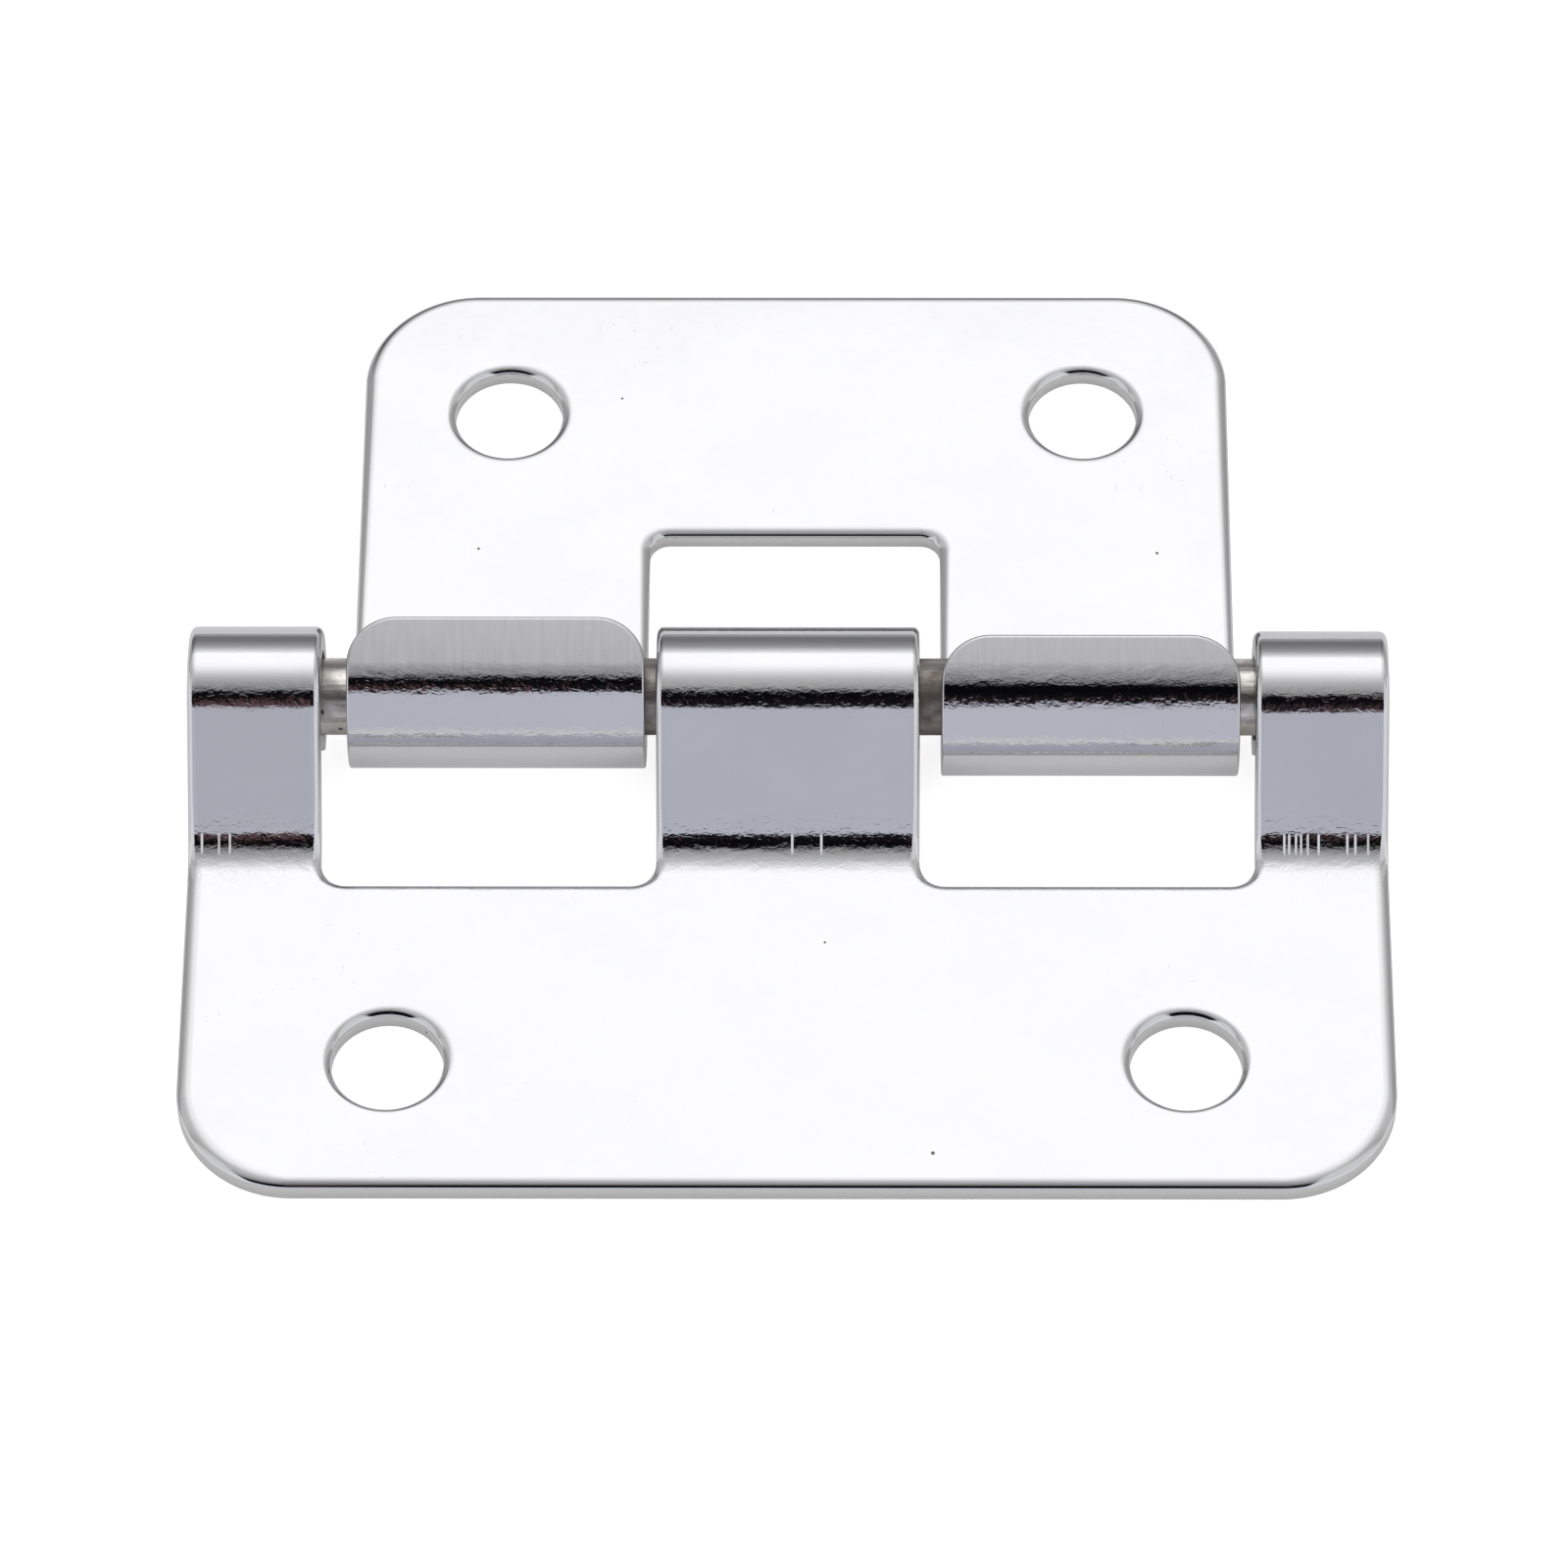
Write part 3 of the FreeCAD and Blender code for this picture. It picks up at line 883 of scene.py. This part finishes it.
class HINGE_OT_narrow_leaf(bpy.types.Operator):
    """Cuts, rolls and bends the back leaf"""

    bl_idname = "hinge.narrow_leaf"
    bl_label = "Narrow leaf"

    def execute(self, context):
        scene = context.scene
        sheet, leaf, pin = scene.hinge_sheet, scene.hinge_narrow_leaf, scene.hinge_pin
        left = narrow_section(leaf, pin, leaf.left_hook, leaf.left_tongue)
        right = narrow_section(leaf, pin, leaf.right_hook, leaf.right_tongue)
        middle, half, notch = mm(leaf.side_float, leaf.width / 2, leaf.notch_width / 2)
        near = mm(leaf.reach - leaf.notch_reach)
        left_end, right_end = walked_length(left), walked_length(right)
        outline = [
            (middle - half, 0), (middle + half, 0), (middle + half, right_end),
            (middle + notch, right_end), (middle + notch, near), (middle - notch, near),
            (middle - notch, left_end), (middle - half, left_end),
        ]
        corners = [
            (mm(sheet.corner_radius), CORNER_STEPS, (0, 1)),
            (mm(leaf.notch_corner), INNER_STEPS, (4, 5)),
            (mm(leaf.tongue_corner), TONGUE_STEPS, (2, 3, 6, 7)),
        ]
        thickness, edge = mm(sheet.thickness, leaf.edge_break)
        roll = punched_roll(sheet, -sheet.roll_lean)
        broken = Roll(edge, edge, BROKEN, 0.0, edge)
        sides = [middle + side * x for side in (-1, 1) for x in (notch, half)]
        strips = (sides, near + mm(leaf.notch_corner),
                  min(left_end, right_end) - mm(leaf.tongue_corner))
        bm = build_leaf(sheet, outline, corners, screw_holes(sheet, leaf, middle), left,
                        right, middle, broken, roll, strips)
        plating = bright_plating(
            "polished_plating_back", scene.hinge_finish, (0.0, (roll.depth - thickness) * MM),
            False)
        finished_piece(bm, "narrow_leaf_sheet", plating, "narrow_leaf", "narrow_leaf")
        return {"FINISHED"}


class HINGE_OT_pin(bpy.types.Operator):
    """Turns the wire pin"""

    bl_idname = "hinge.pin"
    bl_label = "Pin"

    def execute(self, context):
        pin = context.scene.hinge_pin
        radius, half, chamfer = mm(pin.diameter / 2, pin.length / 2, pin.chamfer)
        profile = [(-half, 0), (-half, radius - chamfer), (-half + chamfer, radius),
                   (half - chamfer, radius), (half, radius - chamfer), (half, 0)]
        bm = bmesh.new()
        verts = [bm.verts.new((x, r, 0)) for x, r in profile]
        edges = [bm.edges.new(pair) for pair in zip(verts, verts[1:])]
        bmesh.ops.spin(
            bm, geom=verts + edges, cent=(0, 0, 0), axis=(1, 0, 0), angle=math.tau,
            steps=PIN_STEPS, use_merge=True, use_duplicate=False)
        bmesh.ops.translate(bm, verts=bm.verts, vec=(0, *mm(pin.y, pin.height)))
        steel = dull_steel(context.scene.hinge_finish)
        finished_piece(bm, "pin_wire", steel, "wide_leaf", "hinge_pin")
        return {"FINISHED"}


FLOOR_GAP = 1e-5                 # keeps the floor clear of the undersides that lie on it
TENT_RADIUS, TENT_HALF_LENGTH = 1.5, 4.0
HALF_TURN = 180                  # from the front over the top to the back, in degrees
OVERHEAD_START, OVERHEAD_FULL = 80, 100
# The tent's glow by that angle: the bright cloth overhead and the floor's end at the back,
# which the next two share
TENT_TOP = (
    (98, (1.12, 1.12, 1.13)), (106, (1.38, 1.38, 1.39)), (112, (1.45, 1.45, 1.46)),
    (129, (1.46, 1.46, 1.47)), (133, (1.05, 1.05, 1.06)), (138, (0.78, 0.78, 0.79)),
)
TENT_BACK = (
    (158, (0.25, 0.25, 0.26)), (168, (0.23, 0.23, 0.235)), (174, (0.40, 0.40, 0.40)),
    (180, (0.55, 0.55, 0.55)),
)
TENT_BANDS = (
    (0, (0.65, 0.66, 0.76)), (29, (0.65, 0.66, 0.76)), (34, (0.60, 0.62, 0.71)),
    (36.2, (0.61, 0.63, 0.72)), (37.8, (0.25, 0.24, 0.27)),
    (39, (0.012, 0.011, 0.013)), (51, (0.004, 0.004, 0.005)),
    (61, (0.004, 0.004, 0.005)), (64, (0.20, 0.20, 0.205)), (69, (0.42, 0.42, 0.425)),
    (76, (0.54, 0.54, 0.545)), (84, (0.66, 0.66, 0.67)), (91, (0.86, 0.86, 0.87)),
    *TENT_TOP, (142, (0.52, 0.52, 0.53)), (148, (0.38, 0.38, 0.39)), *TENT_BACK,
)
# The same beside the dark part in front, and along the reddish edge of that dark
TENT_SIDE_BANDS = (
    (0, (0.92, 0.93, 0.98)), (45, (0.92, 0.93, 0.98)), (66, (0.82, 0.83, 0.86)),
    (84, (0.85, 0.85, 0.86)), (98, (1.12, 1.12, 1.13)), (112, (1.45, 1.45, 1.46)),
    (129, (1.46, 1.46, 1.47)), (137, (1.10, 1.10, 1.11)), (148, (0.95, 0.95, 0.96)),
    (168, (0.92, 0.92, 0.93)), (180, (0.90, 0.90, 0.91)),
)
TENT_EDGE_BANDS = (
    (0, (0.65, 0.66, 0.76)), (29, (0.62, 0.63, 0.72)), (34, (0.57, 0.585, 0.665)),
    (36.2, (0.57, 0.585, 0.665)), (37.8, (0.25, 0.18, 0.19)),
    (39, (0.12, 0.068, 0.072)), (48, (0.11, 0.062, 0.066)), (50, (0.010, 0.008, 0.009)),
    (60, (0.004, 0.004, 0.005)), (62, (0.16, 0.16, 0.165)), (69, (0.34, 0.34, 0.345)),
    (76, (0.46, 0.46, 0.465)), (84, (0.62, 0.62, 0.63)), (91, (0.84, 0.84, 0.85)),
    *TENT_TOP, (142, (0.56, 0.56, 0.57)), (148, (0.40, 0.40, 0.41)), *TENT_BACK,
)
# How the bright part falls off to the sides, by the distance from the middle in metres
TENT_FALL = (
    (0.0, 1.0), (0.13, 1.0), (0.20, 0.87), (0.335, 0.78), (0.6, 0.58), (0.92, 0.48),
    (1.57, 0.47),
)
DARK_LEFT, DARK_RIGHT, DARK_SOFT = -0.90, 0.50, 0.16   # the dark part's sides, and how soft
EDGE_NEAR, EDGE_FAR, EDGE_END = 0.088, 0.102, 0.16     # and where its edge begins and ends


def tent_material():
    """Glowing cloth, brightest overhead, with the dark of the camera in front."""
    material, tree, glow = new_material("light_tent", "ShaderNodeEmission")
    place = tree.nodes.new("ShaderNodeTexCoord").outputs["Object"]
    parts = split(tree, place)
    x = parts["X"]
    forward = maths(tree, "MULTIPLY", parts["Y"], -1.0)
    angle = maths(tree, "ARCTAN2", parts["Z"], forward)
    share = maths(tree, "DIVIDE", angle, math.pi, clamp=True)
    middle, reddish, side = (band_ramp(tree, share, bands, HALF_TURN)
                             for bands in (TENT_BANDS, TENT_EDGE_BANDS, TENT_SIDE_BANDS))
    outwards = maths(tree, "ABSOLUTE", x)
    red_share = maths(tree, "MULTIPLY", smooth_step(tree, outwards, EDGE_NEAR, EDGE_FAR),
                      smooth_step(tree, outwards, EDGE_END + EDGE_NEAR, EDGE_END))
    patches = smooth_step(tree, noise(tree, place, (70, 30, 30), detail=2.0), 0.44, 0.50)
    on_left = maths(tree, "LESS_THAN", x, 0.0)
    patches = maths(tree, "MAXIMUM", patches, on_left)
    red_share = maths(tree, "MULTIPLY", red_share, patches)
    front = mixed(tree, red_share, middle, reddish)
    beside = maths(
        tree, "MAXIMUM", smooth_step(tree, x, DARK_RIGHT, DARK_RIGHT + DARK_SOFT),
        smooth_step(tree, x, DARK_LEFT, DARK_LEFT - DARK_SOFT))
    cloth = mixed(tree, beside, front, side)
    reach = TENT_FALL[-1][0]
    fall = band_ramp(tree, maths(tree, "DIVIDE", outwards, reach, clamp=True),
                     [(place, (level,) * 3) for place, level in TENT_FALL], reach)
    overhead = smooth_step(tree, share, OVERHEAD_START / HALF_TURN, OVERHEAD_FULL / HALF_TURN)
    level = mixed(tree, overhead, (1, 1, 1), fall)
    tree.links.new(multiplied(tree, cloth, level), glow.inputs["Color"])
    material.cycles.emission_sampling = "NONE"
    return material


def stage_piece(name, bm, material):
    """Turns the bmesh into an object of the stage."""
    mesh = bpy.data.meshes.new(name)
    bm.to_mesh(mesh)
    bm.free()
    mesh.materials.append(material)
    piece = bpy.data.objects.new(name, mesh)
    bpy.context.scene.collection.objects.link(piece)
    return piece


class HINGE_OT_stage(bpy.types.Operator):
    """Sets the floor, the light tent, the world and the camera"""

    bl_idname = "hinge.stage"
    bl_label = "Stage"

    def execute(self, context):
        scene = context.scene
        stage = scene.hinge_stage
        self.add_floor(stage)
        self.add_tent()
        self.set_world(scene)
        self.add_camera(scene, stage)
        scene.view_settings.view_transform = "Standard"
        return {"FINISHED"}

    def add_floor(self, stage):
        """A matt floor, lifted to the white of the cut-out photo, which keeps its shadow."""
        material, tree, shader = new_material("pale_floor")
        shader.inputs["Base Color"].default_value = (*stage.floor, 1)
        shader.inputs["Roughness"].default_value = 0.9
        shader.inputs["Specular IOR Level"].default_value = 0.0
        shader.inputs["Emission Color"].default_value = (1, 1, 1, 1)
        path = tree.nodes.new("ShaderNodeLightPath")
        reflected = maths(tree, "ADD", path.outputs["Is Glossy Ray"],
                          path.outputs["Is Transmission Ray"], clamp=True)
        in_metal = maths(tree, "MULTIPLY", reflected, stage.metal_lift)
        lift = maths(tree, "MULTIPLY_ADD", path.outputs["Is Camera Ray"], stage.floor_lift,
                     in_metal)
        tree.links.new(lift, shader.inputs["Emission Strength"])
        bm = bmesh.new()
        bmesh.ops.create_grid(bm, x_segments=1, y_segments=1, size=2 * TENT_RADIUS)
        bmesh.ops.translate(bm, verts=bm.verts, vec=(0, 0, -FLOOR_GAP))
        stage_piece("floor", bm, material)

    def add_tent(self):
        """Half a tube over the hinge, which the camera doesn't see."""
        bm = bmesh.new()
        ends = [bm.verts.new((side * TENT_HALF_LENGTH, -TENT_RADIUS, 0)) for side in (-1, 1)]
        edge = bm.edges.new(ends)
        bmesh.ops.spin(
            bm, geom=ends + [edge], cent=(0, 0, 0), axis=(1, 0, 0), angle=-math.pi,
            steps=TENT_STEPS, use_merge=False, use_duplicate=False)
        tent = stage_piece("light_tent", bm, tent_material())
        tent.visible_camera = False
        tent.visible_shadow = False

    def set_world(self, scene):
        """An even white beyond the tent."""
        world = bpy.data.worlds.new("studio")
        scene.world = world
        _, background = shaded(world, "ShaderNodeBackground", "ShaderNodeOutputWorld")
        background.inputs["Color"].default_value = (1, 1, 1, 1)
        background.inputs["Strength"].default_value = 1.0

    def add_camera(self, scene, stage):
        """The photo's view, from the pixel that the middle of the pin axis has in it."""
        turn, rise = stage.azimuth, stage.elevation
        level = Vector((-math.sin(turn), math.cos(turn), 0))
        right = Vector((math.cos(turn), math.sin(turn), 0))
        up = level * math.sin(rise) + Vector((0, 0, math.cos(rise)))
        view = level * math.cos(rise) - Vector((0, 0, math.sin(rise)))
        rolled_right = right * math.cos(stage.roll) - up * math.sin(stage.roll)
        rolled_up = right * math.sin(stage.roll) + up * math.cos(stage.roll)
        focal = stage.scale * stage.distance / MM
        middle = PHOTO_SIDE / 2
        across = (stage.pin_pixel[0] - middle) / focal * stage.distance
        upward = -(stage.pin_pixel[1] - middle) / focal * stage.distance
        pin = Vector((0, scene.hinge_pin.y, scene.hinge_pin.height))
        place = pin - view * stage.distance - rolled_right * across - rolled_up * upward
        data = bpy.data.cameras.new("photo_view")
        data.sensor_fit = "HORIZONTAL"
        data.sensor_width = SENSOR
        data.lens = focal * SENSOR / PHOTO_SIDE
        data.clip_start = 0.01
        data.clip_end = 20
        camera = bpy.data.objects.new("photo_view", data)
        axes = Matrix((rolled_right, rolled_up, -view)).transposed()
        camera.matrix_world = Matrix.Translation(place) @ axes.to_4x4()
        scene.collection.objects.link(camera)
        scene.camera = camera


class HINGE_PT_panel(bpy.types.Panel):
    """Lists the pieces of the hinge and their sizes"""

    bl_idname = "HINGE_PT_panel"
    bl_label = "Box hinge"
    bl_space_type = "VIEW_3D"
    bl_region_type = "UI"
    bl_category = "Hinge"

    def draw(self, context):
        for operator, settings in PANEL_ROWS:
            box = self.layout.box()
            if operator:
                box.operator(operator)
            group = getattr(context.scene, settings)
            for name in group.__annotations__:
                box.prop(group, name)


PANEL_ROWS = (
    ("", "hinge_sheet"),
    ("hinge.wide_leaf", "hinge_wide_leaf"),
    ("hinge.narrow_leaf", "hinge_narrow_leaf"),
    ("hinge.pin", "hinge_pin"),
    ("", "hinge_finish"),
    ("hinge.stage", "hinge_stage"),
)
SETTINGS = {
    "hinge_sheet": SheetSizes,
    "hinge_wide_leaf": WideLeafSizes,
    "hinge_narrow_leaf": NarrowLeafSizes,
    "hinge_pin": PinSizes,
    "hinge_finish": FinishSettings,
    "hinge_stage": StageSettings,
}
CLASSES = (
    *SETTINGS.values(),
    HINGE_OT_wide_leaf,
    HINGE_OT_narrow_leaf,
    HINGE_OT_pin,
    HINGE_OT_stage,
    HINGE_PT_panel,
)


def register():
    for cls in CLASSES:
        bpy.utils.register_class(cls)
    for name, group in SETTINGS.items():
        setattr(bpy.types.Scene, name, PointerProperty(type=group))


def unregister():
    for name in SETTINGS:
        delattr(bpy.types.Scene, name)
    for cls in reversed(CLASSES):
        bpy.utils.unregister_class(cls)


def main():
    register()
    bpy.ops.hinge.stage()
    bpy.ops.hinge.wide_leaf()
    bpy.ops.hinge.narrow_leaf()
    bpy.ops.hinge.pin()


if __name__ == "__main__":
    main()
